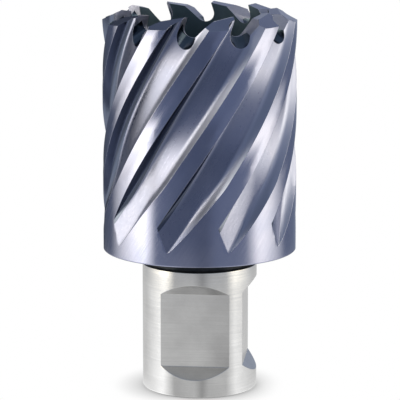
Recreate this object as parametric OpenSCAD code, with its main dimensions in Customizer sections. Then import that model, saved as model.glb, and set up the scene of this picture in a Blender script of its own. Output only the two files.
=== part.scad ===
// Annular cutter with a two-flat shank, one solid piece of tool steel.
// It stands on the shank end, the axis is Z and the teeth point up; the first shank flat faces -Y.

/* [Shank] */
// Diameter of the shank
shank_d = 19.05; // [16:0.05:22]
// Length of the shank, from its end to the shoulder of the body
shank_l = 23.5; // [22:0.5:30]
// Chamfer round the shank end
shank_chamfer = 0.4; // [0.2:0.1:1.2]
// Distance of each flat from the axis
flat_r = 7.65; // [7.2:0.05:7.8]
// Height at which a flat starts
flat_z = 5; // [4:0.5:6]
// Length of the level part of a flat
flat_l = 12.2; // [8:0.1:13]
// Slope of the two ends of a flat
flat_slope = 45; // [35:1:60]
// Angle from the first flat to the second
flat_spread = 90; // [60:5:180]
// Diameter in the relief groove under the shoulder
neck_d = 18; // [14:0.1:18.2]
// Width of the relief groove
neck_w = 2.2; // [1:0.1:2.4]

/* [Body] */
// Cutting diameter
cutter_d = 32; // [30:0.5:36]
// Overall length from the shank end to the tooth tips
overall_l = 63.5; // [58:0.5:75]
// Diameter of the cup that takes the slug
slug_d = 22.6; // [20:0.1:23.4]
// Thickness of the floor of the cup
web_t = 7.5; // [5:0.5:9]
// Radius in the corner of the cup floor
cup_r = 1.5; // [0.5:0.1:3]
// Edge break round the shoulder
shoulder_break = 0.15; // [0.1:0.05:1]

/* [Pilot hole] */
// Diameter of the hole for the pilot pin
pilot_d = 6.4; // [5:0.1:8.2]
// Chamfer at both ends of the pilot hole
pilot_chamfer = 0.5; // [0.2:0.1:1]

/* [Flutes] */
// Number of flutes and teeth
teeth = 10; // [8:2:10]
// Axial distance for one turn of the helix
lead = 147.5; // [130:0.5:260]
// Depth of a flute at its rake wall
flute_depth = 2.32; // [1.6:0.02:2.6]
// Fillet at the foot of the rake wall
root_r = 1.2; // [0.4:0.1:1.6]
// Angle covered by the floor of a flute
floor_angle = 20.6; // [17:0.1:22.5]
// Angle from the rake wall to the heel of the next land
heel_angle = 24.4; // [23.6:0.2:27]
// Height at which a flute runs out at its rake wall
runout_z = 29.7; // [29:0.1:34]
// Height of the lowest corner of the run-out
runout_low_z = 25.6; // [25:0.2:28]
// Angle across the flute at which the run-out is lowest
runout_low_angle = 16; // [10:0.5:18]
// Height at which the run-out begins along the heel
runout_heel_z = 36.6; // [33:0.2:40]
// Radius of the run-out, measured along the axis
runout_r = 27; // [15:1:30]

/* [Teeth] */
// Diameter of the ridge on the tooth tops
ridge_d = 25.6; // [24.5:0.1:27.5]
// Slope of a tooth top outside the ridge
roof_out = 23.5; // [15:0.5:30]
// Slope of a tooth top inside the ridge
roof_in = 9; // [4:1:20]
// Relief of a tooth top behind its cutting edge
relief = 10; // [5:0.5:12]
// Lead of the gullet face on the rake wall, as an angle about the axis
gullet_lead = 5.5; // [4:0.1:8]
// Depth of a gullet below the tips
gullet_depth = 3.45; // [2.8:0.05:4]
// Radius at the bottom of a gullet
gullet_r = 1.45; // [0.8:0.05:1.5]
// Lean of the gullet face under the cutting edge
gullet_hook = 18; // [8:1:22]
// Slope of the back of a gullet
gullet_back = 43.5; // [40:0.5:55]
// Skew of a gullet in plan, its outer end lagging
gullet_skew = 16; // [0:1:20]
// Fall of a gullet towards the outside
gullet_fall = 12; // [0:1:15]
// Radius of the chip scallop in the gullet floor
scallop_r = 1.6; // [1:0.1:1.8]
// Fall of the scallop towards the outside
scallop_fall = 28; // [15:1:32]

/* [Hidden] */
$fn = 96;
body_r = cutter_d / 2;
slug_r = slug_d / 2;
ridge_r = ridge_d / 2;
cup_z = shank_l + web_t;
floor_r = body_r - flute_depth;
pitch = 360 / teeth;
// Direction of the rake wall of the first tooth at the tips, chosen to set the teeth against the flats
rake_dir = 9;
gullet_dir = rake_dir + gullet_lead;
// Middle of the gullet bottom, ahead of the cutting edge
gullet_middle = gullet_r / cos(gullet_hook) - (gullet_depth - gullet_r) * tan(gullet_hook);
// Reach of the gullet and of the scallop from the cup wall, inwards and outwards
inside = 4;
outside = 8;
spare = 5;
flute_top = overall_l + 2;
flute_foot = shank_l + 1;
flute_steps = 22;
root_steps = 3;
arc_steps = 8;

// Rounds of the cup floor as points from the wall inwards
function cup_corner() = [for (i = [0 : arc_steps])
    let (a = 90 * i / arc_steps)
    [slug_r - cup_r + cup_r * cos(a), cup_z + cup_r - cup_r * sin(a)]];

// Section through the blank from the pilot hole outwards, up to the level of the tips
function blank_points() = concat(
    [[pilot_d / 2 + pilot_chamfer, 0],
     [shank_d / 2 - shank_chamfer, 0],
     [shank_d / 2, shank_chamfer],
     [shank_d / 2, shank_l - neck_w],
     [neck_d / 2, shank_l - neck_w],
     [neck_d / 2, shank_l],
     [body_r - shoulder_break, shank_l],
     [body_r, shank_l + shoulder_break],
     [body_r, overall_l],
     [slug_r, overall_l]],
    cup_corner(),
    [[pilot_d / 2 + pilot_chamfer, cup_z],
     [pilot_d / 2, cup_z - pilot_chamfer],
     [pilot_d / 2, pilot_chamfer]]);

// Section of a flute: x runs across the floor from the rake wall, y is the distance from the axis
function flute_section() = let (
        foot = floor_r * [tan(floor_angle), 1],
        heel = body_r * [sin(heel_angle), cos(heel_angle)])
    concat(
        [[0, body_r + spare]],
        [for (i = [0 : root_steps])
            let (a = 90 * i / root_steps)
            [root_r - root_r * cos(a), floor_r + root_r - root_r * sin(a)]],
        [for (share = [0, 0.6, 3]) foot + (heel - foot) * share]);

// Height at which a flute leaves the outside, by the angle across it
function runout(across) = across < runout_low_angle
    ? runout_z + (runout_low_z - runout_z) * across / runout_low_angle
    : runout_low_z + (runout_heel_z - runout_low_z)
        * pow((min(across, heel_angle) - runout_low_angle) / (heel_angle - runout_low_angle), 1.5);

// Lift of the grinding wheel out of the flute at a height, for one point of the section
function flute_lift(z, across, r) = let (
        start = runout(across) + sqrt(2 * runout_r * max(body_r - r, 0)))
    z < start ? (start - z) * (start - z) / (2 * runout_r) : 0;

// One point of a flute at a height, turned along the helix
function flute_point(p, z) = let (
        across = atan2(p[0], p[1]),
        r = norm(p) + flute_lift(z, across, norm(p)),
        a = rake_dir + 360 * (z - overall_l) / lead + across)
    [r * cos(a), r * sin(a), z];

// Solid that one flute removes
module flute() {
    section = flute_section();
    n = len(section);
    rise = (flute_top - flute_foot) / flute_steps;
    points = [for (i = [0 : flute_steps], p = section) flute_point(p, flute_foot + i * rise)];
    sides = [for (i = [0 : flute_steps - 1], j = [0 : n - 1])
        let (a = i * n + j, b = i * n + (j + 1) % n)
        each [[a, b, a + n], [b, b + n, a + n]]];
    foot_cap = [[for (j = [n - 1 : -1 : 0]) j]];
    top_cap = [[for (j = [0 : n - 1]) flute_steps * n + j]];
    polyhedron(points, concat(sides, foot_cap, top_cap), convexity = 6);
}

// Profile of a gullet: x runs ahead of the cutting edge, y is the height over the tips
function gullet_points() = let (
        middle = [gullet_middle, gullet_r - gullet_depth],
        from = 180 - gullet_hook,
        to = 270 + gullet_back,
        last = middle + gullet_r * [cos(to), sin(to)],
        rise = spare - last[1])
    concat(
        [[spare * tan(gullet_hook), spare]],
        [for (i = [0 : arc_steps])
            let (a = from + (to - from) * i / arc_steps)
            middle + gullet_r * [cos(a), sin(a)]],
        [[last[0] + rise / tan(gullet_back), spare]]);

// Notch between two teeth, with a scallop that leads the chips out into the flute
module gullet() {
    rotate([0, 0, gullet_dir])
        translate([slug_r, 0, overall_l])
            rotate([0, 0, -gullet_skew]) {
                rotate([0, gullet_fall, 0])
                    translate([-inside, 0, 0])
                        rotate([90, 0, 90])
                            linear_extrude(inside + outside)
                                polygon([for (p = gullet_points()) [p[0], p[1] * cos(gullet_fall)]]);
                translate([0, gullet_middle, -gullet_depth])
                    rotate([0, 90 + scallop_fall, 0])
                        translate([-scallop_r, 0, 0])
                            cylinder(h = outside, r = scallop_r);
            }
}

// Room over the ridged and relieved top of one tooth
module tooth_top() {
    inner = slug_r - 2;
    outer = body_r + 2;
    rotate([0, 0, gullet_dir])
        translate([0, 0, overall_l])
            rotate([90 + relief, 0, 0])
                translate([0, 0, -2])
                    linear_extrude(ridge_r * pitch * PI / 180)
                        polygon([
                            [inner, -(ridge_r - inner) * tan(roof_in)],
                            [ridge_r, 0],
                            [outer, -(outer - ridge_r) * tan(roof_out)],
                            [outer, spare],
                            [inner, spare]]);
}

// Room outside one flat of the shank, with sloped ends
module shank_flat() {
    depth = shank_d / 2 - flat_r + 1;
    run = depth / tan(flat_slope);
    translate([-shank_d, 0, 0])
        rotate([90, 0, 90])
            linear_extrude(2 * shank_d)
                polygon([
                    [-flat_r, flat_z],
                    [-flat_r, flat_z + flat_l],
                    [-flat_r - depth, flat_z + flat_l + run],
                    [-flat_r - depth, flat_z - run]]);
}

module cutter() {
    color([0.3, 0.33, 0.44])
        difference() {
            rotate_extrude() polygon(blank_points());
            for (side = [0, flat_spread]) rotate([0, 0, side]) shank_flat();
            for (i = [0 : teeth - 1]) rotate([0, 0, i * pitch]) {
                flute();
                gullet();
                tooth_top();
            }
        }
}

cutter();
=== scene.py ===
"""Dresses the annular cutter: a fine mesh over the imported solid, its finishes, a light tent and the camera."""
import math

import bmesh
import bpy
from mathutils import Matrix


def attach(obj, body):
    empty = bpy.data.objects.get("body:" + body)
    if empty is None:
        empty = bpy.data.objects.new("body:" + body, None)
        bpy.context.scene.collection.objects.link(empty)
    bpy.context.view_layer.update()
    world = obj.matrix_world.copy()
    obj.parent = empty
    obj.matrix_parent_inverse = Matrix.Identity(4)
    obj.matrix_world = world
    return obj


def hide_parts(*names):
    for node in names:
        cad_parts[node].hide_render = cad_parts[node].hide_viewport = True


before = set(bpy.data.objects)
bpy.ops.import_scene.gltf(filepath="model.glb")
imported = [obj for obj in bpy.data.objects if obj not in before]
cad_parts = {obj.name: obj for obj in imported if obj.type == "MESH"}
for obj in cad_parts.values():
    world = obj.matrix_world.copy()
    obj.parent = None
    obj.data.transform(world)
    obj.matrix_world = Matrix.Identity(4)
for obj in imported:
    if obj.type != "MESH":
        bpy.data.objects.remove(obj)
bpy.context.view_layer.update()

# Sizes in millimetres and angles in degrees, the same as in the part's source
SHANK_R = 9.525
SHANK_L = 23.5
SHANK_CHAMFER = 0.4
FLAT_R = 7.65
FLAT_Z = 5.0
FLAT_L = 12.2
FLAT_SLOPE = 45.0
FLAT_SPREAD = 90.0
NECK_R = 9.0
NECK_W = 2.2
BODY_R = 16.0
OVERALL_L = 63.5
SLUG_R = 11.3
CUP_Z = 31.0
CUP_CORNER = 1.5
SHOULDER_BREAK = 0.15
PILOT_R = 3.2
PILOT_CHAMFER = 0.5
TEETH = 10
PITCH = 360 / TEETH
LEAD = 147.5
FLUTE_DEPTH = 2.32
FLOOR_R = BODY_R - FLUTE_DEPTH
ROOT_R = 1.2
FLOOR_ANGLE = 20.6
HEEL_ANGLE = 24.4
RUNOUT_Z = 29.7
RUNOUT_LOW_Z = 25.6
RUNOUT_LOW_ANGLE = 16.0
RUNOUT_HEEL_Z = 36.6
RUNOUT_R = 27.0
RIDGE_R = 12.8
ROOF_OUT = 23.5
ROOF_IN = 9.0
RELIEF = 10.0
RAKE_DIR = 9.0
GULLET_LEAD = 5.5
GULLET_DIR = RAKE_DIR + GULLET_LEAD
GULLET_DEPTH = 3.45
GULLET_R = 1.45
GULLET_HOOK = 18.0
GULLET_BACK = 43.5
GULLET_SKEW = 16.0
GULLET_FALL = 12.0
SCALLOP_R = 1.6
SCALLOP_FALL = 28.0

# Finer forms that only the scene has: relieved lands behind a margin, blends and fillets
MARGIN_ANGLE = 31.5
HEEL_DROP = 0.05
HEEL_BLEND = 2.2
SHANK_BREAK = 0.15
NECK_FILLET = 0.2
SHOULDER_FILLET = 0.4

# Reach of the cutting tubes past the surfaces that they cut
CLEAR = 1.0
OVERLAP = 2.0
SPARE = 5.0
GULLET_INSIDE = 4.0
GULLET_OUTSIDE = 8.0
FLUTE_FOOT = SHANK_L + 0.8
FLUTE_TOP = OVERALL_L + OVERLAP
MARGIN_OVERRUN = 1.2
FLUTE_CORNER = (3.0, 5.5)

# Fineness of the mesh, with the height up to which the rings of a flute lie close together
AROUND = 720
RUNOUT_RINGS = 78
HELIX_RINGS = 50
RUNOUT_RINGS_TOP = RUNOUT_HEEL_Z - 0.6
SCALLOP_SIDES = 64
GULLET_STEPS = 24
MERGE_M = 2e-7
SHARP_ANGLE = 24

# Kinds of surface, kept on the faces for the coating, and the materials by their place on the piece
PLAIN, FLUTED, RAKED, NOTCHED, SCALLOPED = range(5)
COATED, GROUND, GROOVE_SHADED, CUPPED = range(4)

# Turn of the surface from the radius at which a flute's floor becomes its heel wall
HEEL_LAG_LOW = 23.0
HEEL_LAG_HIGH = 33.0


def sin(a):
    return math.sin(math.radians(a))


def cos(a):
    return math.cos(math.radians(a))


def tan(a):
    return math.tan(math.radians(a))


def between(a, b, n):
    """Values from a to b in n equal steps, both ends in."""
    return [a + (b - a) * i / n for i in range(n + 1)]


def line(p, q, n):
    """Points from p to q in n equal steps, without p."""
    return [tuple(a + (b - a) * i / n for a, b in zip(p, q)) for i in range(1, n + 1)]


def arc(cx, cy, r, a0, a1, n):
    """Points of an arc from angle a0 to a1 in n steps, both ends in."""
    return [(cx + r * cos(a), cy + r * sin(a)) for a in between(a0, a1, n)]


def turn(p, a):
    """A point turned about the axis."""
    return (p[0] * cos(a) - p[1] * sin(a), p[0] * sin(a) + p[1] * cos(a), p[2])


def linked_object(name, points, faces):
    """A mesh object in the scene, from points in metres."""
    mesh = bpy.data.meshes.new(name)
    mesh.from_pydata(points, [], faces)
    obj = bpy.data.objects.new(name, mesh)
    bpy.context.scene.collection.objects.link(obj)
    return obj


def marked_object(name, points, faces, kinds):
    """A closed mesh object from points in millimetres, its faces marked with their kinds."""
    obj = linked_object(name, [[c * 0.001 for c in p] for p in points], faces)
    bm = bmesh.new()
    bm.from_mesh(obj.data)
    bmesh.ops.recalc_face_normals(bm, faces=bm.faces)
    bm.to_mesh(obj.data)
    bm.free()
    mark = obj.data.attributes.new("kind", "INT", "FACE")
    mark.data.foreach_set("value", kinds)
    return obj


def loft(rings, split=None):
    """Points and faces of a closed tube through rings of equal length, with both ends capped.

    Where split is given, each side is two triangles, and split says by its place which way they part.
    """
    n = len(rings[0])
    points = [p for ring in rings for p in ring]
    faces = []
    for i in range(len(rings) - 1):
        for j in range(n):
            a = i * n + j
            b = i * n + (j + 1) % n
            if split is None:
                faces.append((a, b, b + n, a + n))
            elif split(j):
                faces += [(a, b, a + n), (b, b + n, a + n)]
            else:
                faces += [(a, b, b + n), (a, b + n, a + n)]
    faces.append(tuple(range(n))[::-1])
    faces.append(tuple((len(rings) - 1) * n + j for j in range(n)))
    return points, faces


def gather(parts):
    """Points and faces of several tubes as one mesh."""
    points, faces = [], []
    for p, f in parts:
        start = len(points)
        points += p
        faces += [tuple(i + start for i in face) for face in f]
    return points, faces


def blank():
    """The turned blank, a section swept right round the axis."""
    neck_z = SHANK_L - NECK_W
    section = (
        [(PILOT_R + PILOT_CHAMFER, 0.0), (SHANK_R - SHANK_CHAMFER, 0.0)]
        + [(SHANK_R, z) for z in between(SHANK_CHAMFER, neck_z - SHANK_BREAK, 12)]
        + [(SHANK_R - SHANK_BREAK, neck_z)]
        + arc(NECK_R + NECK_FILLET, neck_z + NECK_FILLET, NECK_FILLET, 270, 180, 4)
        + arc(NECK_R + SHOULDER_FILLET, SHANK_L - SHOULDER_FILLET, SHOULDER_FILLET, 180, 90, 6)
        + [(BODY_R - SHOULDER_BREAK, SHANK_L)]
        + [(BODY_R, z) for z in between(SHANK_L + SHOULDER_BREAK, OVERALL_L, 20)]
        + [(SLUG_R, z) for z in between(OVERALL_L, CUP_Z + CUP_CORNER, 12)[:-1]]
        + arc(SLUG_R - CUP_CORNER, CUP_Z + CUP_CORNER, CUP_CORNER, 0, -90, 10)
        + [(PILOT_R + PILOT_CHAMFER, CUP_Z), (PILOT_R, CUP_Z - PILOT_CHAMFER), (PILOT_R, PILOT_CHAMFER)]
    )
    n = len(section)
    points = [(r * cos(a), r * sin(a), z) for a in between(0, 360, AROUND)[:-1] for r, z in section]
    faces = []
    for i in range(AROUND):
        k = (i + 1) % AROUND
        for j in range(n):
            m = (j + 1) % n
            faces.append((i * n + j, k * n + j, k * n + m, i * n + m))
    return marked_object("cutter_body", points, faces, [PLAIN] * len(faces))


def flute_section():
    """Section of a flute: x across the floor from the rake wall, y the distance from the axis."""
    foot = FLOOR_R * tan(FLOOR_ANGLE)
    heel_r = BODY_R - HEEL_DROP
    heel = (heel_r * sin(HEEL_ANGLE), heel_r * cos(HEEL_ANGLE))
    margin = (BODY_R * sin(MARGIN_ANGLE), BODY_R * cos(MARGIN_ANGLE))
    out = tuple(m + (m - h) * MARGIN_OVERRUN for m, h in zip(margin, heel))
    rise = math.degrees(math.atan2(heel[1] - FLOOR_R, heel[0] - foot))
    floor_end = foot - HEEL_BLEND * tan(rise / 2)
    wall_foot = FLOOR_R + ROOT_R
    section = [(0.0, BODY_R + SPARE)]
    section += [(0.0, y) for y in between(BODY_R + CLEAR, wall_foot, 4)[:-1]]
    section += arc(ROOT_R, wall_foot, ROOT_R, 180, 270, 9)
    section += [(x, FLOOR_R) for x in between(ROOT_R, floor_end, 13)[1:-1]]
    section += arc(floor_end, FLOOR_R + HEEL_BLEND, HEEL_BLEND, 270, 270 + rise, 9)
    section += line(section[-1], heel, 2) + line(heel, margin, 4)
    section += [out, (out[0] + FLUTE_CORNER[0], out[1] + FLUTE_CORNER[1])]
    return section


FLUTE_SECTION = flute_section()


def flute_kind(i):
    """Kind of a face of a flute by its number: rake wall, floor with heel wall, or land beyond it."""
    n = len(FLUTE_SECTION)
    j = i // 2 % n
    (x0, y0), (x1, y1) = FLUTE_SECTION[j], FLUTE_SECTION[(j + 1) % n]
    across = math.degrees(math.atan2(x0 + x1, y0 + y1))
    if across > HEEL_ANGLE or j == n - 1:
        return PLAIN
    return RAKED if x0 + x1 < ROOT_R else FLUTED


def runout(across):
    """Height at which a flute leaves the outside, by the angle across it."""
    if across < RUNOUT_LOW_ANGLE:
        return RUNOUT_Z + (RUNOUT_LOW_Z - RUNOUT_Z) * across / RUNOUT_LOW_ANGLE
    share = (min(across, HEEL_ANGLE) - RUNOUT_LOW_ANGLE) / (HEEL_ANGLE - RUNOUT_LOW_ANGLE)
    return RUNOUT_LOW_Z + (RUNOUT_HEEL_Z - RUNOUT_LOW_Z) * share ** 1.5


def flute_lift(z, across, r):
    """Lift of the grinding wheel out of the flute near its foot, for one point of the section."""
    start = runout(across) + math.sqrt(2 * RUNOUT_R * max(BODY_R - r, 0.0))
    return (start - z) ** 2 / (2 * RUNOUT_R) if z < start else 0.0


def flute(a):
    """One flute as a tube swept along its helix, with closer rings in the run-out."""
    heights = between(FLUTE_FOOT, RUNOUT_RINGS_TOP, RUNOUT_RINGS)[:-1]
    heights += between(RUNOUT_RINGS_TOP, FLUTE_TOP, HELIX_RINGS)
    rings = []
    for z in heights:
        ring = []
        for x, y in FLUTE_SECTION:
            across = math.degrees(math.atan2(x, y))
            r = math.hypot(x, y)
            r += flute_lift(z, across, r)
            at = a + RAKE_DIR + 360 * (z - OVERALL_L) / LEAD + across
            ring.append((r * cos(at), r * sin(at), z))
        rings.append(ring)
    return loft(rings, lambda j: math.degrees(math.atan2(*FLUTE_SECTION[j])) < RUNOUT_LOW_ANGLE)


def gullet_middle():
    """Middle of the gullet bottom, ahead of the cutting edge."""
    return GULLET_R / cos(GULLET_HOOK) - (GULLET_DEPTH - GULLET_R) * tan(GULLET_HOOK)


def beside_gullet(s, t, h, a):
    """A point by its place along a gullet from the cup wall, across it and over the tips."""
    x = SLUG_R + s * cos(GULLET_SKEW) + t * sin(GULLET_SKEW)
    y = t * cos(GULLET_SKEW) - s * sin(GULLET_SKEW)
    return turn((x, y, OVERALL_L + h), a + GULLET_DIR)


def gullet(a):
    """One notch between two teeth, pushed through the wall and falling towards the outside."""
    low, high = 180 - GULLET_HOOK, 270 + GULLET_BACK
    bottom = arc(gullet_middle(), GULLET_R - GULLET_DEPTH, GULLET_R, low, high, GULLET_STEPS)
    end = bottom[-1]
    profile = [(SPARE * tan(GULLET_HOOK), SPARE)] + bottom
    profile += [(end[0] + (SPARE - end[1]) / tan(GULLET_BACK), SPARE)]
    c, f = cos(GULLET_FALL), sin(GULLET_FALL)
    rings = []
    for s in (-GULLET_INSIDE, GULLET_OUTSIDE):
        rings.append([beside_gullet(s * c + h * c * f, t, h * c * c - s * f, a) for t, h in profile])
    return loft(rings)


def scallop(a):
    """The round scallop that leads chips from a gullet down into the flute."""
    circle = arc(gullet_middle(), SCALLOP_R, SCALLOP_R, 0, 360, SCALLOP_SIDES)[:-1]
    c, f = cos(SCALLOP_FALL), sin(SCALLOP_FALL)
    rings = []
    for s in (0.0, GULLET_OUTSIDE):
        rings.append([beside_gullet(s * c + up * f, t, up * c - s * f - GULLET_DEPTH, a) for t, up in circle])
    return loft(rings)


def tooth_top(a):
    """Room over the ridged top of one tooth, falling away behind the cutting edge."""
    inner, outer = SLUG_R - OVERLAP, BODY_R + OVERLAP
    profile = [
        (inner, -(RIDGE_R - inner) * tan(ROOF_IN)),
        (RIDGE_R, 0.0),
        (outer, -(outer - RIDGE_R) * tan(ROOF_OUT)),
        (outer, SPARE),
        (inner, SPARE),
    ]
    length = RIDGE_R * math.radians(PITCH)
    c, f = cos(RELIEF), sin(RELIEF)
    rings = []
    for s in (-OVERLAP, length - OVERLAP):
        ring = [(x, -s * c - y * f, OVERALL_L - s * f + y * c) for x, y in profile]
        rings.append([turn(p, a + GULLET_DIR) for p in ring])
    return loft(rings)


def shank_flat(a):
    """Room outside one flat of the shank, with sloped ends."""
    deep = SHANK_R - FLAT_R + CLEAR
    run = deep / tan(FLAT_SLOPE)
    profile = [
        (-FLAT_R, FLAT_Z),
        (-FLAT_R, FLAT_Z + FLAT_L),
        (-FLAT_R - deep, FLAT_Z + FLAT_L + run),
        (-FLAT_R - deep, FLAT_Z - run),
    ]
    return loft([[turn((x, y, z), a) for y, z in profile] for x in (-2 * SHANK_R, 2 * SHANK_R)])


def cut(obj, name, parts, kind_of):
    """Takes closed tubes out of a mesh object, the new faces marked by their number in the tube."""
    points, faces = gather(parts)
    each = len(parts[0][1])
    tool = marked_object(name, points, faces, [kind_of(i % each) for i in range(len(faces))])
    step = obj.modifiers.new(name, "BOOLEAN")
    step.operation = "DIFFERENCE"
    step.solver = "MANIFOLD"
    step.object = tool
    bpy.context.view_layer.update()
    done = bpy.data.meshes.new_from_object(obj.evaluated_get(bpy.context.evaluated_depsgraph_get()))
    obj.modifiers.clear()
    obj.data = done
    bpy.data.objects.remove(tool)


def build_cutter():
    """The cutter as one closed mesh: the blank less its flats, flutes, gullets, scallops and tooth tops."""
    obj = blank()
    turns = [i * PITCH for i in range(TEETH)]
    for a in (0, FLAT_SPREAD):
        cut(obj, "flats", [shank_flat(a)], lambda i: PLAIN)
    cut(obj, "flutes", [flute(a) for a in turns], flute_kind)
    # Tubes of neighbouring teeth overlap, so every second tooth is cut at a time
    for half in (turns[0::2], turns[1::2]):
        cut(obj, "gullets", [gullet(a) for a in half], lambda i: NOTCHED)
        cut(obj, "scallops", [scallop(a) for a in half], lambda i: SCALLOPED)
        cut(obj, "tops", [tooth_top(a) for a in half], lambda i: PLAIN)
    mesh = obj.data
    bm = bmesh.new()
    bm.from_mesh(mesh)
    bmesh.ops.remove_doubles(bm, verts=bm.verts, dist=MERGE_M)
    bmesh.ops.dissolve_degenerate(bm, edges=bm.edges, dist=MERGE_M)
    bm.to_mesh(mesh)
    bm.free()
    mesh.name = "cutter_body"
    mesh.shade_smooth()
    mesh.set_sharp_from_angle(angle=math.radians(SHARP_ANGLE))
    return obj


def mark_heels(mesh):
    """Marks on the points how far a flute has turned from its floor to its heel wall."""
    kinds = mesh.attributes["kind"].data
    sums = [[0.0, 0.0] for _ in mesh.vertices]
    for face in mesh.polygons:
        if kinds[face.index].value == FLUTED:
            place, normal = face.center, face.normal
            lag = math.degrees(math.atan2(place.y, place.x) - math.atan2(normal.y, normal.x)) % 360
            share = (lag - HEEL_LAG_LOW) / (HEEL_LAG_HIGH - HEEL_LAG_LOW)
            share = min(max(share, 0), 1) if lag < 180 else 0
            for i in face.vertices:
                sums[i][0] += share * face.area
                sums[i][1] += face.area
    mark = mesh.attributes.new("heel", "FLOAT", "POINT")
    mark.data.foreach_set("value", [s / area if area > 0 else 0.0 for s, area in sums])


def rgb(r, g, b):
    return (r, g, b, 1)


# Colours of the finishes, among them painted shade and painted highlights; a pair is the range of a cloudy
# colour
COAT = rgb(0.236, 0.26, 0.375), rgb(0.28, 0.298, 0.41)
COAT_SHADED = rgb(0.035, 0.058, 0.078)
COAT_WORN = rgb(0.5, 0.52, 0.6)
HEEL_PAINTED_HIGHLIGHT = rgb(0.38, 0.41, 0.54)
RAKE_PAINTED_SHADE = rgb(0.048, 0.064, 0.09)
SCALLOP_PAINTED_SHADE = rgb(0.05, 0.075, 0.1)
GULLET_PAINTED_HIGHLIGHT = rgb(0.42, 0.43, 0.52)
COAT_FLOOR = rgb(0.17, 0.185, 0.26)
STEEL = rgb(0.575, 0.575, 0.573), rgb(0.665, 0.665, 0.662)
STEEL_LINES = rgb(0.44, 0.44, 0.438)
STEEL_WORN = rgb(0.8, 0.79, 0.78)
CUP_PAINTED_SHADE = rgb(0.026, 0.052, 0.074), rgb(0.044, 0.076, 0.104)
GROOVE_PAINTED_SHADE = rgb(0.016, 0.019, 0.024), rgb(0.034, 0.038, 0.046)
FLOOR_GREY = rgb(0.9, 0.9, 0.9)
WHITE = rgb(1, 1, 1)

# Width of the worn edges and height of the surface marks, in metres
COAT_EDGE, COAT_MARKS = 0.00009, 0.0000016
STEEL_EDGE, STEEL_MARKS = 0.00014, 0.000002
CUP_EDGE, CUP_MARKS = 0.00009, 0.000006
GROOVE_EDGE, GROOVE_MARKS = 0.0001, 0.000004

# Reach of the painted shade in corners of the coating and of the painted shadow on the floor, in metres
COAT_SHADE_REACH = 0.0038
FLOOR_SHADE_REACH = 0.008

EVEN = (1, 1, 1)


class Shader:
    """Builds the node tree of one material."""

    def __init__(self, name, metallic=1):
        self.mat = bpy.data.materials.new(name)
        self.mat.use_nodes = True
        self.tree = self.mat.node_tree
        self.base = self.tree.nodes["Principled BSDF"]
        self.base.inputs["Metallic"].default_value = metallic

    def node(self, kind, inputs=(), **settings):
        """A new node, each input linked to a socket or set to a value."""
        made = self.tree.nodes.new("ShaderNode" + kind)
        for key, value in settings.items():
            setattr(made, key, value)
        for key, value in dict(inputs).items():
            self.feed(made.inputs[key], value)
        return made

    def feed(self, socket, value):
        """Links an input to a socket or sets it to a value."""
        if isinstance(value, bpy.types.NodeSocket):
            self.tree.links.new(value, socket)
        else:
            socket.default_value = value

    def math(self, operation, a, b=0.0):
        return self.node("Math", {0: a, 1: b}, operation=operation).outputs[0]

    def times(self, a, b):
        return self.math("MULTIPLY", a, b)

    def plus(self, a, b):
        return self.math("ADD", a, b)

    def spread(self, value, low, high, to_low, to_high):
        """Maps a value from one range to another, held at the ends."""
        inputs = {"Value": value, "From Min": low, "From Max": high, "To Min": to_low, "To Max": to_high}
        return self.node("MapRange", inputs).outputs["Result"]

    def mix(self, share, a, b):
        """Mixes two colours."""
        made = self.node("Mix", {"Factor": share}, data_type="RGBA")
        self.feed(made.inputs[6], a)
        self.feed(made.inputs[7], b)
        return made.outputs[2]

    def cloudy(self, cloud, pair):
        """A colour that drifts between the two of a pair."""
        return self.mix(self.spread(cloud, 0.35, 0.65, 0.0, 1.0), *pair)

    def noise(self, place, stretch, scale, detail):
        """Noise mostly between 0.3 and 0.7 over a stretched place."""
        moved = self.node("Mapping", {"Vector": place, "Scale": stretch}, vector_type="POINT").outputs[0]
        return self.node("TexNoise", {"Vector": moved, "Scale": scale, "Detail": detail}).outputs["Fac"]

    def place(self):
        return self.node("TexCoord").outputs["Object"]

    def from_axis(self, part):
        """Distance from the axis, from the separate coordinates of a place."""
        level = self.node("CombineXYZ", {"X": part["X"], "Y": part["Y"]}).outputs[0]
        return self.node("VectorMath", {0: level}, operation="LENGTH").outputs["Value"]

    def shade(self, reach, samples):
        """How open the surface lies, nothing in a deep corner and one in the open."""
        return self.node("AmbientOcclusion", {"Distance": reach}, samples=samples).outputs["AO"]

    def edges(self, radius):
        """One on convex and concave edges and nothing elsewhere, with the rounded normal."""
        bevel = self.node("Bevel", {"Radius": radius}, samples=6).outputs[0]
        true = self.node("NewGeometry").outputs["Normal"]
        dot = self.node("VectorMath", {0: bevel, 1: true}, operation="DOT_PRODUCT").outputs["Value"]
        return self.spread(dot, 0.995, 0.93, 0.0, 1.0), bevel

    def glow(self, colour, strength):
        return self.node("Emission", {"Color": colour, "Strength": strength}).outputs[0]

    def show(self, surface):
        """Ends the tree in a surface other than the material's own."""
        self.tree.links.new(surface, self.tree.nodes["Material Output"].inputs[0])
        return self.mat

    def finish(self, colour, rough, height, depth, normal):
        """Ends the tree in the material's own surface, with marks of a depth on a normal."""
        self.feed(self.base.inputs["Base Color"], colour)
        self.feed(self.base.inputs["Roughness"], rough)
        bump = self.node("Bump", {"Height": height, "Strength": 1.0, "Distance": depth, "Normal": normal})
        self.feed(self.base.inputs["Normal"], bump.outputs[0])
        return self.mat


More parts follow.
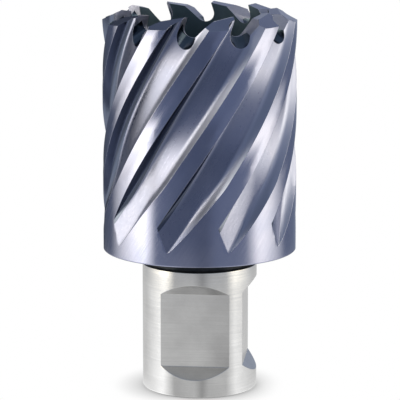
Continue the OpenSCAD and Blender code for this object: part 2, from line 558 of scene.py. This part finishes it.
def coating():
    """Dark blue-violet hard coating with the marks of grinding along the helix, painted shade in its corners,
    rake walls and scallops, and painted highlights on heel walls and gullets.
    """
    m = Shader("coating")
    place = m.place()
    z = m.node("SeparateXYZ", {0: place}).outputs["Z"]
    twist = m.times(z, -2 * math.pi / (LEAD * 0.001))
    untwisted = {"Vector": place, "Angle": twist}
    straight = m.node("VectorRotate", untwisted, rotation_type="Z_AXIS").outputs[0]
    streaks = m.noise(straight, (1, 1, 0.025), 4200, 2)
    speckle = m.noise(place, EVEN, 2600, 1)
    cloud = m.noise(place, EVEN, 190, 4)
    kind = m.node("Attribute", attribute_name="kind").outputs["Fac"]
    fluted, raked, notched, scalloped = (
        m.node("Math", {0: kind, 1: float(k), 2: 0.25}, operation="COMPARE").outputs[0]
        for k in (FLUTED, RAKED, NOTCHED, SCALLOPED)
    )
    heeled = m.times(fluted, m.node("Attribute", attribute_name="heel").outputs["Fac"])
    fluted = m.math("SUBTRACT", fluted, heeled)
    wear, normal = m.edges(COAT_EDGE)
    worn = m.times(wear, m.spread(cloud, 0.38, 0.6, 0.1, 0.5))
    # Painted shade: the coating darkens towards COAT_SHADED in corners, less on flute floors and rake walls
    deep = m.spread(m.shade(COAT_SHADE_REACH, 12), 0.55, 0.85, 1.0, 0.0)
    deep = m.times(deep, m.spread(m.plus(fluted, raked), 0.0, 1.0, 1.0, 0.4))
    colour = m.cloudy(cloud, COAT)
    for share, other in (
        (deep, COAT_SHADED),
        (worn, COAT_WORN),
        # Painted highlight: the heel walls are coloured lighter, standing in for the light that they catch
        (heeled, HEEL_PAINTED_HIGHLIGHT),
        # Painted shade: the rake walls are darkened towards near black
        (m.times(raked, 0.74), RAKE_PAINTED_SHADE),
        # Painted shade: the scallops are darkened towards near black
        (m.times(scalloped, 0.75), SCALLOP_PAINTED_SHADE),
        # Painted highlight: the gullet faces are coloured lighter, standing in for the light on their slopes
        (m.times(notched, 0.6), GULLET_PAINTED_HIGHLIGHT),
        (m.times(fluted, 0.3), COAT_FLOOR),
    ):
        colour = m.mix(share, colour, other)
    rough = m.spread(streaks, 0.3, 0.7, 0.15, 0.23)
    for more in (
        m.times(heeled, 0.22),
        m.times(notched, m.spread(speckle, 0.3, 0.7, 0.15, 0.4)),
        m.times(fluted, m.spread(speckle, 0.3, 0.7, 0.1, 0.15)),
    ):
        rough = m.plus(rough, more)
    height = m.plus(m.times(streaks, 0.5), m.times(fluted, m.times(speckle, 0.2)))
    return m.finish(colour, rough, height, COAT_MARKS, normal)


def ground_steel():
    """Bright steel ground round the shank and across its flats."""
    m = Shader("ground_steel")
    place = m.place()
    lines = m.noise(place, (0.02, 0.02, 1), 5200, 2)
    fine = m.noise(place, EVEN, 2600, 3)
    cloud = m.noise(place, EVEN, 230, 4)
    wear, normal = m.edges(STEEL_EDGE)
    colour = m.cloudy(cloud, STEEL)
    colour = m.mix(m.spread(lines, 0.32, 0.68, 0.25, 0.0), colour, STEEL_LINES)
    colour = m.mix(m.times(wear, 0.5), colour, STEEL_WORN)
    rough = m.spread(lines, 0.3, 0.7, 0.13, 0.18)
    height = m.plus(lines, m.times(fine, 0.3))
    return m.finish(colour, rough, height, STEEL_MARKS, normal)


def cup_bore():
    """Matte coating in the cup and the pilot hole, over the marks of turning, coloured near black as painted
    shade of the hollow.
    """
    m = Shader("cup_bore", metallic=0.5)
    place = m.place()
    part = m.node("SeparateXYZ", {0: place}).outputs
    rings = m.node("CombineXYZ", {"X": m.from_axis(part), "Y": part["Z"]}).outputs[0]
    lines = m.noise(rings, EVEN, 3600, 2)
    # Painted shade: the near-black colour stands in for the shade inside the cup and the bore
    colour = m.cloudy(m.noise(place, EVEN, 260, 4), CUP_PAINTED_SHADE)
    rough = m.spread(lines, 0.3, 0.7, 0.34, 0.5)
    return m.finish(colour, rough, lines, CUP_MARKS, m.edges(CUP_EDGE)[1])


def groove_painted_shade():
    """The relief groove under the shoulder, coloured near black as painted shade where the body overhangs it."""
    m = Shader("groove_painted_shade")
    cloud = m.noise(m.place(), EVEN, 900, 4)
    # Painted shade: the near-black colour stands in for the shade under the shoulder
    colour = m.cloudy(cloud, GROOVE_PAINTED_SHADE)
    rough = m.spread(cloud, 0.3, 0.7, 0.42, 0.6)
    return m.finish(colour, rough, cloud, GROOVE_MARKS, m.edges(GROOVE_EDGE)[1])


def dress(obj):
    """Gives the faces of the cutter their materials by height and distance from the axis."""
    obj.data.materials.clear()
    for mat in (coating(), ground_steel(), groove_painted_shade(), cup_bore()):
        obj.data.materials.append(mat)
    neck_z = SHANK_L - NECK_W
    for face in obj.data.polygons:
        x, y, z = (c * 1000 for c in face.center)
        r = math.hypot(x, y)
        outside = r > PILOT_R + 0.1
        if z < neck_z - 0.1 and outside:
            face.material_index = GROUND
        elif z < SHANK_L - 0.01 and outside:
            face.material_index = GROOVE_SHADED
        elif z < SHANK_L + 0.01 and r > NECK_R:
            face.material_index = GROUND
        elif r < SLUG_R + 0.02:
            face.material_index = CUPPED
        else:
            face.material_index = COATED


cutter = build_cutter()
dress(cutter)
mark_heels(cutter.data)
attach(cutter, "root")
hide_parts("cutter")

# Camera as fitted to the photograph: metres and degrees, with the focal length and the axis in pixels
VIEW_AZ = 5.8
CAM_D = 0.3973
CAM_H = 0.10701
CAM_PITCH = 10.75
CAM_F_PX = 2433.5
CAM_AXIS_PX = 199.64
PHOTO_PX = 400
SENSOR_W = 36.0

# Light of the tent by direction in degrees from the camera's side: far sheets, and the ground close by
FAR = [
    (-180, 0.5), (-166, 0.08), (-125, 0.22), (-67, 4.7), (-53, 0.4), (-16, 0.26), (8, 0.24), (20, 0.38),
    (56, 0.45), (72, 3.2), (84, 3.0), (118, 0.33), (152, 0.3), (165, 0.5), (180, 0.5),
]
NEAR = [
    (-180, 0.55), (-130, 0.8), (-75, 1.55), (-53, 0.65), (-12, 0.72), (5, 0.43), (20, 0.66), (56, 0.72),
    (75, 1.3), (130, 0.75), (180, 0.55),
]
# Distances from the axis, in metres, between which the near ground passes into the far sheets
NEAR_END, FAR_START = 0.108, 0.118
# Tint of the far sheets where they are dim and where they are bright, with those two levels
COOL, WARM = (0.82, 0.96, 1.27), (1.11, 1.015, 0.81)
COOL_LEVEL, WARM_LEVEL = 0.35, 0.95
# Level that stands for one in the colour ramps
BRIGHT = 5.0
LID_LIGHT = rgb(0.24, 0.29, 0.37)

# Sizes of the stage in metres; the tent stands a little towards the camera
FLOOR_HALF = 3.0
TENT_R = 0.6
TENT_H = 0.7
TENT_SIDES = 180
TENT_LIFT = 0.0002
TENT_SHIFT = 0.0055


def white_floor():
    """A floor that is white to the eye and in the metal, with a painted shadow where the cutter stands."""
    s = FLOOR_HALF
    obj = linked_object("floor", [(-s, -s, 0), (s, -s, 0), (s, s, 0), (-s, s, 0)], [(0, 1, 2, 3)])
    m = Shader("floor", metallic=0)
    m.base.inputs["Base Color"].default_value = FLOOR_GREY
    m.base.inputs["Roughness"].default_value = 0.9
    path = m.node("LightPath").outputs
    seen = m.math("MAXIMUM", path["Is Glossy Ray"], path["Is Transmission Ray"])
    seen = m.math("MAXIMUM", path["Is Camera Ray"], seen)
    # Painted shadow: the floor's white glow dims where the floor lies less open near the cutter
    open_share = m.spread(m.shade(FLOOR_SHADE_REACH, 24), 0.5, 0.9, 0.55, 1.0)
    glow = m.glow(WHITE, open_share)
    both = m.node("MixShader", {0: seen, 1: m.base.outputs[0], 2: glow}).outputs[0]
    obj.data.materials.append(m.show(both))


def tent_ramp(m, turned, stops, tinted):
    """A colour ramp over the direction, cool where dim and warm where bright if it is tinted."""
    ramp = m.node("ValToRGB", {"Fac": turned})
    elements = ramp.color_ramp.elements
    while len(elements) < len(stops):
        elements.new(0.5)
    for element, (a, level) in zip(elements, stops):
        share = min(max((level - COOL_LEVEL) / (WARM_LEVEL - COOL_LEVEL), 0), 1)
        tint = [c + (w - c) * share if tinted else 1 for c, w in zip(COOL, WARM)]
        element.position = (a + 180) / 360
        element.color = [level * t / BRIGHT for t in tint] + [1]
    return ramp.outputs["Color"]


def tent_light():
    """Two bright side panels that fade backwards, dim sheets elsewhere and a paler ground close by."""
    m = Shader("tent_light")
    part = m.node("SeparateXYZ", {0: m.place()}).outputs
    turned = m.math("ARCTAN2", part["X"], m.times(part["Y"], -1.0))
    turned = m.spread(turned, -math.pi, math.pi, 0.0, 1.0)
    far = m.spread(m.from_axis(part), NEAR_END, FAR_START, 0.0, 1.0)
    colour = m.mix(far, tent_ramp(m, turned, NEAR, False), tent_ramp(m, turned, FAR, True))
    return m.show(m.glow(colour, BRIGHT))


def tent_lid():
    """The dim lid of the tent."""
    m = Shader("tent_lid")
    return m.show(m.glow(LID_LIGHT, 1.0))


def tent():
    """A round light tent with a ground sheet, seen only in the metal."""
    n = TENT_SIDES
    low = [(x, y, TENT_LIFT) for x, y in arc(0, 0, TENT_R, 0, 360, n)[:-1]]
    high = [(x, y, TENT_H) for x, y, _ in low]
    faces = [(i, (i + 1) % n, (i + 1) % n + n, i + n) for i in range(n)]
    faces += [tuple(range(n)), tuple(range(n, 2 * n))]
    obj = linked_object("tent", low + high, faces)
    obj.rotation_euler[2] = math.radians(VIEW_AZ)
    obj.location = (TENT_SHIFT * sin(VIEW_AZ), -TENT_SHIFT * cos(VIEW_AZ), 0)
    obj.data.materials.append(tent_light())
    obj.data.materials.append(tent_lid())
    obj.data.polygons[-1].material_index = 1
    obj.visible_camera = False
    obj.visible_diffuse = False
    obj.visible_shadow = False


def world_light():
    """Plain white light from all round."""
    world = bpy.data.worlds.new("studio")
    bpy.context.scene.world = world
    world.use_nodes = True
    back = world.node_tree.nodes["Background"]
    back.inputs["Color"].default_value = WHITE
    back.inputs["Strength"].default_value = 1.0


def camera():
    """The camera in the photograph's place."""
    data = bpy.data.cameras.new("camera")
    obj = bpy.data.objects.new("camera", data)
    bpy.context.scene.collection.objects.link(obj)
    obj.location = (CAM_D * sin(VIEW_AZ), -CAM_D * cos(VIEW_AZ), CAM_H)
    obj.rotation_euler = (math.radians(90 - CAM_PITCH), 0, math.radians(VIEW_AZ))
    data.sensor_fit = "HORIZONTAL"
    data.sensor_width = SENSOR_W
    data.lens = CAM_F_PX * SENSOR_W / PHOTO_PX
    data.shift_x = (PHOTO_PX / 2 - CAM_AXIS_PX) / PHOTO_PX
    data.clip_start = 0.01
    bpy.context.scene.camera = obj


white_floor()
tent()
world_light()
camera()
bpy.context.scene.view_settings.view_transform = "Standard"
